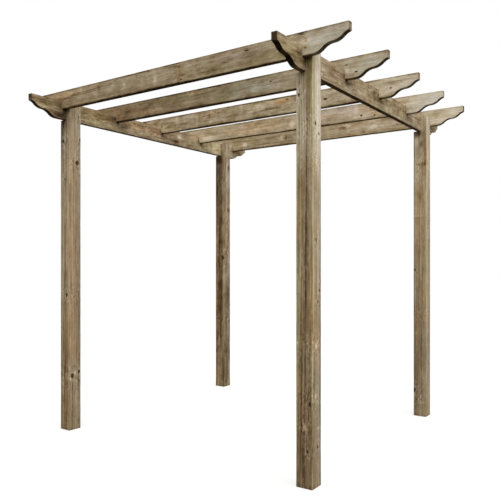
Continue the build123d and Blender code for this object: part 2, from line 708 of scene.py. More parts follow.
    def _end_grain(self) -> Socket:
        """How square the surface lies to the grain."""
        axis = tuple(float(number == self.timber.grain.value[2]) for number in range(3))
        return self.ramp(self.math("ABSOLUTE", self.vector("DOT_PRODUCT", self.normal, axis)), 0.14, 0.60)

    def _light_and_weather(self) -> float | Socket:
        """Shift of the level along the timber: the sum of its shifts, each a smooth step. They are partly
        weathering and partly painted light, such as posts painted paler towards their heads and beams towards
        their back ends.
        """
        middle = (self.timber.low[2] + self.timber.high[2]) / 2
        total: float | Socket = 0.0
        for start, end, gain in self.timber.shifts:
            total = self.math("ADD", self.ramp(self.along, start - middle, end - middle, 0.0, gain), total)
        return total


def add(name: str, mesh: bpy.types.Mesh, material: bpy.types.Material) -> bpy.types.Object:
    """Put a mesh with one material into the scene.

    Args:
        name: name of the object.
        mesh: its mesh, in the row frame.
        material: its material.

    Returns:
        The new object, at the origin.
    """
    mesh.materials.append(material)
    piece = bpy.data.objects.new(name, mesh)
    bpy.context.scene.collection.objects.link(piece)
    return piece


@dataclass
class Timber:
    """One length of wood that stands for a CAD node.

    Attributes:
        node: CAD node that it replaces.
        finish: its wood.
        seed: moves its grain to a part of the noise of its own.
        pith: where the middle of the tree lies, in across and depth.
        knots: knots that show.
        splits: drying splits.
        streaks: stains and bleached lines.
        level: how pale it is on the whole.
        heart: how strong its red-brown patches are.
        contrast: how strong its long grain is.
        mottle: how blotched it is.
        bleach_and_light: how much paler its sunny sides are, partly sun bleaching and partly painted light on
            the sides that face the key light.
        end: how much paler its end grain is.
        calm: how much weaker its figure is on its sunny sides.
        shifts: changes of level: start and end along the grain, and how much paler past the end; partly
            weathering and partly painted light.
        ease: smallest radius of its arrises.
        wear: how much further the arrises are worn in places.
        dark_arris: split value of its arrises, which darkens them.
        sharp: angle past which an edge is shaded sharp, in radians.
        grain: how it is laid.
    """

    node: str
    finish: TreatedWood
    seed: float
    pith: tuple[float, float] = (0.03, -0.07)
    knots: tuple[Knot, ...] = ()
    splits: tuple[Split, ...] = ()
    streaks: tuple[Streak, ...] = ()
    level: float = 0.50
    heart: float = 0.65
    contrast: float = 1.0
    mottle: float = 1.0
    bleach_and_light: float = 0.05
    end: float = -0.44
    calm: float = 0.0
    shifts: tuple[tuple[float, float, float], ...] = ()
    ease: float = 0.002
    wear: float = 0.0012
    dark_arris: float = 0.42
    sharp: float = math.radians(32)
    grain: Grain = Grain.RAFTER

    def __post_init__(self) -> None:
        """Read the node's box and work out the timber's own corners."""
        low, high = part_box(self.node)
        self.middle: Place = tuple((low + high) / 2)
        self.low, self.high = self.grain.of_row(low), self.grain.of_row(high)

    def worn(self, along: Array) -> Array:
        """Arris radius: the least radius plus wear that swells and fades in three slow waves."""
        turn = along * 2 * np.pi + self.seed
        wave = np.sin(turn / 0.61) + np.sin(turn / 0.233 + 1.3) + 0.6 * np.sin(turn / 0.097 + 2.1)
        return self.ease + self.wear * np.clip(wave / 2.6, 0.0, 1.0)

    def spot(
        self, face: Face, share: float, along: float, width: float, length: float, reach: float
    ) -> tuple[Place, Place]:
        """Middle of a mark on a face, and what its distance is stretched by.

        Args:
            face: face that it lies on.
            share: place across the face.
            along: place along the grain, in the row frame.
            width: half of its width.
            length: half of its length.
            reach: how deep it goes.

        Returns:
            The middle in timber coordinates and one over the size along each axis.
        """
        size = np.subtract(self.high[:2], self.low[:2])
        branch = face.value % 2
        outward = 1 if face.value < 2 else -1
        sideways = -1 if face in (Face.DEPTH_HIGH, Face.ACROSS_LOW) else 1
        middle, stretch = [0.0, 0.0, 0.0], [0.0, 0.0, 1 / length]
        middle[branch] = outward * size[branch] / 2
        middle[1 - branch] = sideways * (share - 0.5) * size[1 - branch]
        middle[2] = along - (self.low[2] + self.high[2]) / 2
        stretch[branch] = 1 / reach
        stretch[1 - branch] = 1 / width
        return tuple(middle), tuple(stretch)

    def surface(self) -> Skin:
        """Build the closed surface. Each kind of timber has its own."""
        raise NotImplementedError

    def dress(self) -> bpy.types.Object:
        """Make the object, give it its wood and let it stand for its CAD node."""
        name = self.node + "_timber"
        mesh = self.surface().mesh(name, self.sharp)
        piece = add(name, mesh, self.finish.material(self.node + "_wood", self))
        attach(piece, BODY)
        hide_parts(self.node)
        LOG.info("%s: %d faces", name, len(mesh.polygons))
        return piece


@dataclass
class Post(Timber):
    """Square post with a half-lapped head: a seat for the beam and a cheek beside it.

    Attributes:
        beam: CAD node of the beam that it carries, which gives the seat and the cheek's face.
        pace: distance between stations.
        screws: places of the beam's screws, sideways from the post's middle and up from the seat.
    """

    beam: str = ""
    pace: float = 0.018
    screws: tuple[tuple[float, float], ...] = ((-0.022, 0.034), (0.022, 0.070))
    ease: float = 0.003
    wear: float = 0.0018
    dark_arris: float = 0.14
    grain: Grain = Grain.POST

    def surface(self) -> Skin:
        """Shaft up to the seat, then the cheek alone: the ring of columns splits on the cheek's face."""
        beam_low, beam_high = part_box(self.beam)
        seat, cut = beam_low.z, beam_high.x
        (left, front, foot), (right, back, top) = self.low, self.high
        run = (right - left) - 2 * self.ease
        cut_share = (cut - left - self.ease) / run
        marks = {Face.DEPTH_LOW: (cut_share,), Face.DEPTH_HIGH: (1 - cut_share,)}
        section = Section(self.splits, marks, dark_arris=self.dark_arris)
        shaft = np.linspace(foot, seat, round((seat - foot) / self.pace))
        head = np.linspace(seat, top, round((top - seat) / self.pace))
        skin = Skin()
        points, values = self._ring(section, shaft)
        skin.grid(points, values, closed=True)
        skin.cap(points[0], values[0])
        start = section.column(Face.DEPTH_LOW, cut_share)
        end = section.column(Face.DEPTH_HIGH, 1 - cut_share)
        around = np.r_[start : len(section.face), 0 : end + 1]
        rest = np.arange(end, start + 1)
        cheek, shade = self._ring(section, head)
        skin.grid(cheek[:, around], shade[:, around])
        skin.grid(cheek[:, [end, start]])
        skin.cap(points[-1][rest], values[-1][rest])
        skin.cap(cheek[-1][around], shade[-1][around])
        return skin

    def seats(self) -> list[Place]:
        """Row points on the beam's far face where two screws go into the cheek."""
        low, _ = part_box(self.beam)
        middle = (self.low[1] + self.high[1]) / 2
        return [(low.x, middle + side, low.z + up) for side, up in self.screws]

    def _ring(self, section: Section, along: Array) -> tuple[Array, Array]:
        """Row points and split values of the walked section at each station."""
        low = np.broadcast_to(self.low[:2], (len(along), 2))
        high = np.broadcast_to(self.high[:2], (len(along), 2))
        across, depth, value = section.walk(along, low, high, self.worn(along))
        return self.grain.to_row(across, depth, along[:, None]), value


@dataclass
class Board(Timber):
    """Board on edge with a double-scalloped tail at each end, notched over the beams it crosses.

    Attributes:
        crossed: CAD nodes of the beams that it is notched over.
        scallop_run: length of one scallop along the board.
        scallop_drop: height of one scallop.
        scallop_start: distance from the end to the first scallop's root.
        clear: clearance of a notch on each side of the beam.
        pace: distance between stations on the straight, and on a tail.
        head: radius of the wood crushed flat under a screw head.
        rim: radius at which the crushed wood is back at the surface.
        dent: how deep it is crushed.
        bruise: split value of the crushed wood.
        near: how far from a screw the stations stand closer.
        close: how many of these closer stations there are.
        columns: columns on a side, on an edge that takes screws and on a plain edge.
    """

    crossed: tuple[str, ...] = ()
    scallop_run: float = 0.110
    scallop_drop: float = 0.041
    scallop_start: float = 0.200
    clear: float = 0.0002
    pace: tuple[float, float] = (0.024, 0.0042)
    head: float = 0.0050
    rim: float = 0.0072
    dent: float = 0.0034
    bruise: float = 0.15
    near: float = 0.008
    close: int = 15
    columns: tuple[int, int, int] = (10, 26, 6)

    def seats(self) -> list[Place]:
        """Row points on the upper edge where a screw goes down into each crossed beam."""
        across = (self.low[0] + self.high[0]) / 2
        middles = [(start + end) / 2 for start, end, _ in self._laps()]
        return [tuple(self.grain.to_row(across, self.high[1], middle)) for middle in middles]

    def crushed(self, across: Array, along: Array) -> Array:
        """How far the wood is crushed round the screws, 0 to 1: all of it under a head, none past the rim."""
        total = np.zeros(np.broadcast_shapes(across.shape, along.shape))
        for seat in map(self.grain.of_row, self.seats()):
            distance = np.hypot(across - seat[0], along - seat[2])
            total = np.maximum(total, np.clip((self.rim - distance) / (self.rim - self.head), 0.0, 1.0))
        return total

    def underside(self, along: Array) -> Array:
        """Height of the lower edge above the straight part.

        Each scallop is two equal arcs, a bulge that leaves level and a cove that ends level:
        with d the distance from the scallop's root, the height is R - sqrt(R^2 - d^2) up to
        half the run, and its mirror image in the scallop's middle point after that.
        """
        run, drop = self.scallop_run, self.scallop_drop
        radius = (run**2 + drop**2) / (4 * drop)
        half_length = (self.high[2] - self.low[2]) / 2
        middle = (self.high[2] + self.low[2]) / 2
        inward = np.maximum(np.abs(along - middle) - (half_length - self.scallop_start), 0.0)
        count = np.floor(inward / run)
        rest = inward - count * run
        near = np.minimum(rest, run - rest)
        arc = radius - np.sqrt(radius**2 - near**2)
        return count * drop + np.where(rest <= run / 2, arc, drop - arc)

    def stations(self) -> Array:
        """Places along the board, close together on the tails."""
        straight, fine = self.pace
        low, high = self.low[2], self.high[2]
        tail = np.linspace(0.0, self.scallop_start, round(self.scallop_start / fine) + 1)
        inner = np.linspace(low + self.scallop_start, high - self.scallop_start,
                            round((high - low - 2 * self.scallop_start) / straight) + 1)
        return np.unique(np.round(np.concatenate([low + tail, inner, high - tail]), 7))

    def surface(self) -> Skin:
        """Upper part all along, lower part between the notches, then notch walls, ceilings and ends."""
        depth = self.high[1] - self.low[1]
        laps = self._laps()
        lap = max((top for _, _, top in laps), default=depth / 2) - self.low[1]
        lap_share = (lap - self.ease) / (depth - 2 * self.ease)
        marks = {Face.ACROSS_HIGH: (lap_share,), Face.ACROSS_LOW: (1 - lap_share,)}
        side, screwed, plain = self.columns
        flats = (side, screwed if laps else plain, side, plain)
        section = Section(self.splits, marks, flats, dark_arris=self.dark_arris)
        edges = np.array([edge for start, end, _ in laps for edge in (start, end)])
        middles = np.array([(start + end) / 2 for start, end, _ in laps])[:, None]
        close = middles + np.linspace(-self.near, self.near, self.close)
        along = np.unique(np.concatenate([self.stations(), edges, close.reshape(-1)]))
        points, values = self._ring(section, along)
        right = section.column(Face.ACROSS_HIGH, lap_share)
        left = section.column(Face.ACROSS_LOW, 1 - lap_share)
        upper = np.arange(right, left + 1)
        lower = np.r_[left : len(section.face), 0 : right + 1]
        skin = Skin()
        skin.grid(points[:, upper], values[:, upper])
        bounds = np.concatenate([[along[0]], edges, [along[-1]]]).reshape(-1, 2)
        for start, end in bounds:
            part = (along >= start) & (along <= end)
            skin.grid(points[part][:, lower], values[part][:, lower])
        for start, end, _ in laps:
            part = (along >= start) & (along <= end)
            skin.grid(points[part][:, [left, right]])
            for station in np.flatnonzero(part)[[0, -1]]:
                skin.cap(points[station][lower], values[station][lower])
        for station in (0, -1):
            skin.cap(points[station], values[station])
        return skin

    def _laps(self) -> list[tuple[float, float, float]]:
        """Start, end and ceiling of the notch over each beam."""
        laps = []
        for beam in self.crossed:
            low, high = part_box(beam)
            laps.append((low.x - self.clear, high.x + self.clear, high.z))
        return sorted(laps)

    def _ring(self, section: Section, along: Array) -> tuple[Array, Array]:
        """Row points and split values of the section at each station, its lower edge on the underside."""
        low = np.tile(self.low[:2], (len(along), 1))
        low[:, 1] += self.underside(along)
        high = np.broadcast_to(self.high[:2], (len(along), 2))
        across, depth, value = section.walk(along, low, high, self.worn(along))
        crushed = np.where(depth > self.high[1] - Skin.WELD, self.crushed(across, along[:, None]), 0.0)
        points = self.grain.to_row(across, depth - self.dent * crushed, along[:, None])
        return points, np.maximum(value, self.bruise * crushed)


@dataclass(frozen=True)
class ZincPlate:
    """Zinc plate that has dulled outdoors: cloudy, with rust creeping in.

    Attributes:
        bright: clean plate.
        dull: plate gone grey.
        rust: where the plate is gone.
    """

    bright: Colour = (0.56, 0.56, 0.54)
    dull: Colour = (0.33, 0.33, 0.32)
    rust: Colour = (0.20, 0.10, 0.05)

    def material(self, name: str) -> bpy.types.Material:
        """Make the metal: cloudy noise between bright and dull, and rust where a second noise is high."""
        material = bpy.data.materials.new(name)
        s = Shader(material)
        place = s.node("TexCoord").outputs["Object"]
        cloud = s.noise(place, (420.0, 420.0, 420.0), 4.0, 0.6)
        rust = s.ramp(s.noise(place, (260.0, 260.0, 260.0), 3.0, 0.6), 0.56, 0.70, 0.0, 0.9)
        colour = s.mix(rust, s.mix(s.ramp(cloud, 0.35, 0.65), self.bright, self.dull), self.rust)
        surface = s.node("BsdfPrincipled", {
            "Base Color": colour,
            "Metallic": s.ramp(rust, 0.1, 0.8, 1.0, 0.0),
            "Roughness": s.ramp(cloud, 0.3, 0.7, 0.32, 0.58),
        })
        s.node("OutputMaterial", {"Surface": surface.outputs[0]})
        return material


class Way(Enum):
    """Which way a screw head faces: the row axes of its two sides and its top, and the top's sign."""

    UP = (0, 1, 2, 1)
    LEFT = (1, 2, 0, -1)


@dataclass
class Screws:
    """Screws of one kind, by their heads: a round head with a cross recess over a tapering neck.

    Attributes:
        name: name of the piece.
        seats: row points on the wood under the middle of each head.
        way: which way the heads face.
        finish: their metal.
        radius: radius of the head.
        dome: how far the middle of the head stands over its rim.
        rim: height of the rim over the seat, below zero for a sunk head.
        neck: how far the head reaches down from its rim.
        arm: length of the recess from the middle.
        slot: half of the width of the recess.
        recess: depth of the recess.
        soft: width over which the edge of the recess is eased.
        lip: height of the straight edge under the rim.
        rings: rows from the middle of the head to its rim.
        spokes: columns round the head.
        turn: how much further each screw is turned than the one before, in radians.
        sharp: angle past which an edge is shaded sharp, in radians.
    """

    name: str
    seats: list[Place]
    way: Way
    finish: ZincPlate
    radius: float = 0.0050
    dome: float = 0.0004
    rim: float = -0.0020
    neck: float = 0.0030
    arm: float = 0.0028
    slot: float = 0.0007
    recess: float = 0.0016
    soft: float = 0.0002
    lip: float = 0.0006
    rings: int = 25
    spokes: int = 64
    turn: float = 0.7
    sharp: float = math.radians(40)

    def dress(self) -> bpy.types.Object:
        """Make all heads as one object that rides the frame."""
        skin = Skin()
        for number, seat in enumerate(self.seats):
            self._head(skin, np.array(seat), number * self.turn)
        piece = add(self.name, skin.mesh(self.name, self.sharp), self.finish.material(self.name + "_zinc"))
        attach(piece, BODY)
        LOG.info("%s: %d heads, %d faces", self.name, len(self.seats), len(piece.data.polygons))
        return piece

    def _head(self, skin: Skin, seat: Array, turn: float) -> None:
        """Add one head: a turned profile whose top is a parabola, cut down by the recess.

        The top is dome times one less the squared share of the radius. The recess is the
        greater of two crossed bars, each full inside its half width and length and eased to
        nothing at its edge. The neck tapers to half the radius and is closed.

        Args:
            skin: surface that the head is added to.
            seat: row point on the wood under its middle.
            turn: how far it is turned, in radians.
        """
        out = np.r_[np.linspace(0.0, self.radius, self.rings), self.radius, self.radius / 2, 0.0][:, None]
        down = np.r_[np.zeros(self.rings), self.lip, self.neck, self.neck][:, None]
        angle = np.linspace(0.0, 2 * np.pi, self.spokes, endpoint=False)[None, :]
        one, two = out * np.cos(angle), out * np.sin(angle)
        bars = []
        for u, v in ((one, two), (two, one)):
            inside = np.clip((self.slot - np.abs(u)) / self.soft, 0.0, 1.0)
            bars.append(inside * np.clip((self.arm - np.abs(v)) / self.soft, 0.0, 1.0))
        top = self.dome * (1 - (out / self.radius) ** 2) - self.recess * np.maximum(*bars)
        high = self.rim + np.where(down > 0, -down, top)
        side, other, up, sign = self.way.value
        points = np.empty(one.shape + (3,))
        points[..., side] = one * math.cos(turn) - two * math.sin(turn)
        points[..., other] = one * math.sin(turn) + two * math.cos(turn)
        points[..., up] = sign * high
        skin.grid(points + seat, closed=True)


@dataclass
class Studio:
    """Plain pale floor, soft light and the camera at the photograph's angle.

    Attributes:
        eye: where the camera stands.
        turn: its turn about Z from looking along +Y, in radians.
        lens: focal length in millimetres on the sensor's 36.
        rise: vertical shift, in widths of the picture.
        floor_radius: how far the floor reaches.
        floor_fade: shares of that radius between which it fades into the backdrop.
        floor_colour: its colour.
        glow: how much of the floor's look is its own even glow.
        key: where the key light stands.
        key_aim: what it is aimed at.
        key_size: its side.
        key_power: its power in watts.
        sky: level of the sky away from its bright side and on it.
        sky_way: way towards its bright side.
        sky_span: cosines from that way between which the level changes.
        haze: height over the horizon, as a sine, at which ground has turned into sky.
        ground: level of the ground.
        earth: tint of the light from the ground.
        backdrop: level that the camera sees behind everything.
    """

    eye: Place = (2.4623, -3.5973, 1.1582)
    turn: float = 0.6062
    lens: float = 43.511
    rise: float = 0.02015
    floor_radius: float = 9.0
    floor_fade: tuple[float, float] = (0.35, 0.95)
    floor_colour: Colour = (0.90, 0.90, 0.89)
    glow: float = 0.72
    key: Place = (5.2, -1.4, 5.2)
    key_aim: Place = (0.0, 0.0, 1.7)
    key_size: float = 3.6
    key_power: float = 120.0
    sky: tuple[float, float] = (0.45, 1.88)
    sky_way: Place = (0.78, -0.34, 0.52)
    sky_span: tuple[float, float] = (-0.6, 0.9)
    haze: float = 0.50
    ground: float = 0.045
    earth: Colour = (1.0, 0.90, 0.76)
    backdrop: float = 1.0

    def build(self) -> None:
        """Make the camera, the lights, the world and the floor."""
        scene = bpy.context.scene
        scene.view_settings.view_transform = "Standard"
        scene.view_settings.look = "None"
        camera = bpy.data.objects.new("camera", bpy.data.cameras.new("camera"))
        camera.location = self.eye
        camera.rotation_euler = (math.pi / 2, 0.0, self.turn)
        camera.data.lens = self.lens
        camera.data.sensor_width = 36.0
        camera.data.shift_y = self.rise
        camera.data.clip_end = 200.0
        scene.collection.objects.link(camera)
        scene.camera = camera
        self._key(scene)
        self._world(scene)
        self._floor()

    def _key(self, scene: bpy.types.Scene) -> None:
        """Large soft light, high on the right."""
        lamp = bpy.data.lights.new("key", "AREA")
        lamp.shape = "SQUARE"
        lamp.size = self.key_size
        lamp.energy = self.key_power
        key = bpy.data.objects.new("key", lamp)
        x, y, z = np.subtract(self.key, self.key_aim)
        key.location = self.key
        key.rotation_euler = (math.atan2(math.hypot(x, y), z), 0.0, math.atan2(x, -y))
        scene.collection.objects.link(key)

    def _world(self, scene: bpy.types.Scene) -> None:
        """White to the camera; to the wood, a pale sky above and dull ground below."""
        world = bpy.data.worlds.new("studio")
        scene.world = world
        s = Shader(world)
        way = s.node("TexCoord").outputs["Generated"]
        side = s.ramp(s.vector("DOT_PRODUCT", way, self.sky_way), *self.sky_span, *self.sky)
        above = s.ramp(s.node("SeparateXYZ", {0: way}).outputs[2], 0.0, self.haze)
        level = s.node("Mix", {0: above, 2: self.ground, 3: side}, data_type="FLOAT").outputs[0]
        seen = s.node("LightPath").outputs["Is Camera Ray"]
        power = s.node("Mix", {0: seen, 2: level, 3: self.backdrop}, data_type="FLOAT").outputs[0]
        tint = s.mix(s.math("MAXIMUM", above, seen), self.earth, WHITE)
        light = s.node("Background", {"Color": tint, "Strength": power})
        s.node("OutputWorld", {"Surface": light.outputs[0]})

    def _floor(self) -> bpy.types.Object:
        """Pale round floor that fades out at its edge. It throws no light back up at the wood."""
        rings, spokes = 6, 64
        radius = np.linspace(0.0, self.floor_radius, rings)[:, None]
        angle = np.linspace(0.0, 2 * np.pi, spokes, endpoint=False)[None, :]
        points = np.stack(np.broadcast_arrays(radius * np.cos(angle), radius * np.sin(angle), 0.0), axis=-1)
        skin = Skin()
        skin.grid(points, closed=True)
        material = bpy.data.materials.new("studio_floor")
        s = Shader(material)
        seat = s.node("TexCoord").outputs["Object"]
        fade = s.ramp(s.vector("LENGTH", seat), *(share * self.floor_radius for share in self.floor_fade))
        pale = s.node("BsdfDiffuse", {"Color": (*self.floor_colour, 1.0)}).outputs[0]
        lit = s.node("Emission", {"Color": (*WHITE, 1.0)}).outputs[0]
        pale = s.node("MixShader", {0: self.glow, 1: pale, 2: lit}).outputs[0]
        clear = s.node("BsdfTransparent").outputs[0]
        both = s.node("MixShader", {0: fade, 1: pale, 2: clear}).outputs[0]
        s.node("OutputMaterial", {"Surface": both})
        floor = add("studio_floor", skin.mesh("studio_floor", math.pi), material)
        floor.visible_diffuse = False
        floor.visible_glossy = False
        return floor


def scaled(row: tuple, scales: tuple[int, ...]) -> list:
    """Values of a row over their scales, and the rest of the row as it is."""
    return [value / scale for value, scale in zip(row, scales)] + list(row[len(scales):])


def knots(face: Face, *rows: tuple) -> tuple[Knot, ...]:
    """Knots on one face, a row each: share in per cent, along and radius in millimetres, kind, stretch."""
    return tuple(Knot(face, *scaled(row, (100, 1000, 1000))) for row in rows)


def streaks(face: Face, *rows: tuple) -> tuple[Streak, ...]:
    """Streaks on one face, a row each: share and gain in per cent, the rest in millimetres, and stain."""
    return tuple(Streak(face, *scaled(row, (100, 1000, 1000, 1000, 100))) for row in rows)


def posts(finish: TreatedWood) -> list[Post]:
    """The four posts, with the knots, streaks and splits that show on each."""
    front, sunny, left, back = Face.DEPTH_LOW, Face.ACROSS_HIGH, Face.ACROSS_LOW, Face.DEPTH_HIGH
    dead, live = KnotKind.DEAD, KnotKind.LIVE
    rust, olive, slate = Stain.RUST, Stain.OLIVE, Stain.SLATE
    right_front = Post(
        "post_right_front", finish, seed=3.1, pith=(0.1, -0.07), beam="beam_right", level=0.3, contrast=1.3,
        mottle=0.7, bleach_and_light=0.16, calm=0.22,
        shifts=((0.0, 0.025, 0.12), (0.75, 1.3, 0.07), (1.4, 1.82, 0.26)),
        knots=knots(
            front, (70, 191, 6), (55, 308, 8, live), (83, 430, 7), (18, 2002, 6), (62, 1826, 10, live),
        ) + knots(
            sunny, (62, 205, 6), (38, 466, 10, live), (38, 719, 10, live), (63, 946, 5), (80, 1002, 6),
            (45, 1262, 5.5, dead, 1.8), (50, 1665, 10, live), (36, 1851, 7.5), (74, 1805, 5.5),
        ),
        streaks=streaks(
            front, (45, 550, 900, 14, -12), (60, 1300, 900, 6, -28), (75, 250, 800, 30, -10),
            # Painted shade: the olive darks at 74 per cent by 2160 and at 90 per cent by 1980 are the shade
            # under the first rafter and the beam.
            (16, 1200, 1100, 22, 15, olive), (74, 2160, 220, 40, -28, olive),
            (90, 1980, 500, 16, -32, olive), (32, 1960, 400, 30, 20), (52, 312, 22, 7, 65),
            (66, 300, 16, 5, 40), (5, 600, 1000, 12, 12, olive),
        ) + streaks(
            sunny, (86, 800, 1900, 22, -5, slate), (25, 1000, 1400, 20, 2, olive), (50, 2040, 500, 60, 32),
            (40, 466, 24, 8, 70), (62, 440, 20, 6, 40), (42, 722, 26, 8, 65), (75, 300, 14, 12, 30),
            (45, 1668, 40, 7, 40),
        ),
        splits=(Split(front, 0.6, 0.55, 1.3), Split(left, 0.42, 0.3, 1.65, 0.003, 0.011)),
    )
    left_front = Post(
        "post_left_front", finish, seed=7.4, pith=(0.11, -0.08), beam="beam_left", level=0.49, bleach_and_light=-0.1,
        contrast=1.25, mottle=0.8, shifts=((0.0, 0.025, 0.12), (0.4, 1.5, 0.12)),
        knots=knots(
            front, (68, 352, 12, live), (68, 921, 9), (47, 1709, 5), (33, 1973, 9),
        ) + knots(
            sunny, (22, 370, 13, dead, 1.2), (84, 389, 9), (66, 1826, 12.5, dead, 1.2), (92, 1987, 6),
            (80, 2146, 4, dead, 2.4),
        ),
        streaks=streaks(
            sunny, (42, 1100, 1500, 4, -16), (35, 1300, 1600, 30, 4, rust), (92, 1100, 2000, 14, -6, slate),
            (50, 200, 800, 50, 13), (50, 2050, 300, 50, 14), (6, 352, 26, 8, 34), (46, 385, 30, 7, 30),
        ) + streaks(
            front, (45, 350, 1200, 50, -13), (62, 400, 900, 24, 3, rust), (70, 1350, 700, 12, 7, rust),
            # Painted shade: the three darks at the head of the front face on this line are the shade under
            # the first rafter and the beam's tail.
            (40, 2080, 350, 50, -10), (10, 2000, 440, 16, -36), (27, 2140, 140, 28, -44),
        ),
        splits=(Split(back, 0.52, 0.25, 1.5, 0.003, 0.012),),
    )
    right_back = Post(
        "post_right_back", finish, seed=11.8, pith=(0.095, -0.085), beam="beam_right", level=0.38,
        bleach_and_light=0.15, contrast=1.15, mottle=0.8,
        shifts=((0.0, 0.025, 0.1), (0.4, 1.7, 0.18), (1.55, 2.0, 0.06)),
        knots=knots(
            front, (6, 191, 11), (46, 132, 8, live), (12, 1085, 6), (55, 1850, 13, live),
        ) + knots(
            sunny, (55, 1310, 10, live),
        ) + knots(
            back, (40, 750, 8),
        ),
        streaks=streaks(
            front, (62, 650, 1300, 5, -13), (40, 950, 1000, 4, -11), (80, 1450, 900, 4, -11),
            # Painted shade: the dark at 35 per cent by 2095 is the shade under the beam.
            (50, 1500, 900, 50, 6, rust), (40, 1485, 14, 40, 16), (35, 2095, 50, 30, -60),
            (22, 2045, 60, 18, 65), (62, 2020, 50, 14, -50), (92, 1980, 240, 10, -26, rust),
            (45, 1895, 40, 22, 34), (55, 1868, 30, 30, -34, olive), (55, 1635, 100, 16, -26, olive),
            (25, 1750, 180, 16, 16), (30, 1540, 120, 14, 14), (86, 1872, 50, 14, -16, rust),
            (40, 1472, 10, 40, -20),
        ) + streaks(
            sunny, (84, 950, 2400, 30, -2, slate), (30, 500, 500, 30, 8, slate),
            (25, 1100, 2400, 24, 2, olive), (50, 1420, 800, 50, -16), (60, 1310, 30, 30, -10),
            (70, 1440, 30, 30, -12),
        ),
        splits=(Split(left, 0.55, 0.6, 1.9, 0.0028, 0.01),),
    )
    left_back = Post(
        "post_left_back", finish, seed=15.2, pith=(0.09, -0.09), beam="beam_left", level=0.39, bleach_and_light=0.02,
        contrast=1.6, mottle=1.6, shifts=((0.0, 0.025, 0.1),),
        knots=knots(
            front, (86, 1181, 12), (25, 623, 9, live),
        ) + knots(
            sunny, (83, 601, 9),
        ),
        streaks=streaks(
            # Painted shade: the darks at 22 per cent by 1900 and at 35 per cent by 2070 are the shade under
            # the beam.
            front, (22, 1900, 700, 24, -16), (55, 700, 1000, 10, -6), (50, 950, 2000, 50, -10, rust),
            (35, 2070, 60, 30, -40),
        ) + streaks(
            # The pale at 50 per cent by 1880 is partly the wood's colour and partly painted light on the
            # upper sunny face.
            sunny, (15, 450, 1200, 30, -12, olive), (70, 800, 900, 30, 5, slate), (50, 1880, 1500, 50, 35),
            (75, 1621, 50, 20, -45, rust), (78, 2010, 30, 14, -35, rust), (50, 1360, 450, 50, -2, rust),
        ),
        splits=(Split(left, 0.5, 0.2, 1.2, 0.0026, 0.009),),
    )
    return [right_front, left_front, right_back, left_back]


def beams(finish: TreatedWood) -> list[Board]:
    """The two side beams. Painted shade darkens the corner where each of the rear rafters meets them."""
    side, far, live = Face.ACROSS_HIGH, Face.ACROSS_LOW, KnotKind.LIVE
    silver, rust, olive = Stain.SILVER, Stain.RUST, Stain.OLIVE
    # Painted shade: a small dark spot where each rear rafter's lower edge meets the beam's side.
    crossing_shade = [(70, along, 32, 20, -30) for along in (-478, 8, 494, 979)]
    beam_right = Board(
        "beam_right", finish, seed=21.5, pith=(0.05, 0.02), grain=Grain.BEAM, heart=0.0, level=0.5,
        contrast=0.5, mottle=2.0, end=-0.52, bleach_and_light=0.0,
        shifts=((-0.88, -0.98, -0.06), (0.5, 0.8, 0.09), (-0.45, -0.75, 0.06)),
        knots=knots(
            side, (55, 398, 15, live), (30, -360, 4),
        ) + knots(
            far, (47, 400, 6),
        ),
        streaks=streaks(
            side, (70, -650, 500, 12, -7), (50, -1080, 260, 60, -3, olive), (50, 1100, 200, 60, -14, silver),
            (30, -550, 400, 15, 6), (50, 400, 70, 30, -8, olive), (50, 545, 90, 30, 18),
            (50, 100, 500, 40, 3, olive), (60, -530, 100, 50, -10), (50, -60, 30, 40, -20),
            (55, 345, 20, 40, -26), (50, 450, 20, 40, -20), *crossing_shade,
        ),
    )
    beam_left = Board(
        "beam_left", finish, seed=26.3, pith=(0.045, -0.03), grain=Grain.BEAM, heart=0.7, level=0.53,
        contrast=0.5, bleach_and_light=0.0, mottle=2.1, end=-0.36, shifts=((-0.86, -0.98, -0.19), (0.45, 0.75, 0.24)),
        knots=knots(
            side, (50, -32, 14, live), (27, 207, 7), (60, -660, 12, live),
        ),
        streaks=streaks(
            side, (30, 200, 50, 20, -46, rust), (60, 240, 50, 18, 34), (60, -220, 360, 30, 6, rust),
            (50, -680, 360, 60, -14, olive), (50, -30, 70, 40, -8, rust), (50, 680, 500, 50, 8, olive),
            (50, 605, 18, 50, -26, olive), (50, 665, 18, 50, -22, olive), (50, 535, 30, 50, -18, olive),
            (50, 730, 30, 50, 10), (44, -1090, 160, 26, 36, olive), (76, -1060, 160, 18, -16, olive),
            (30, -970, 100, 30, -16), (50, 1100, 200, 60, -36, silver), *crossing_shade,
        ),
    )
    return [beam_right, beam_left]


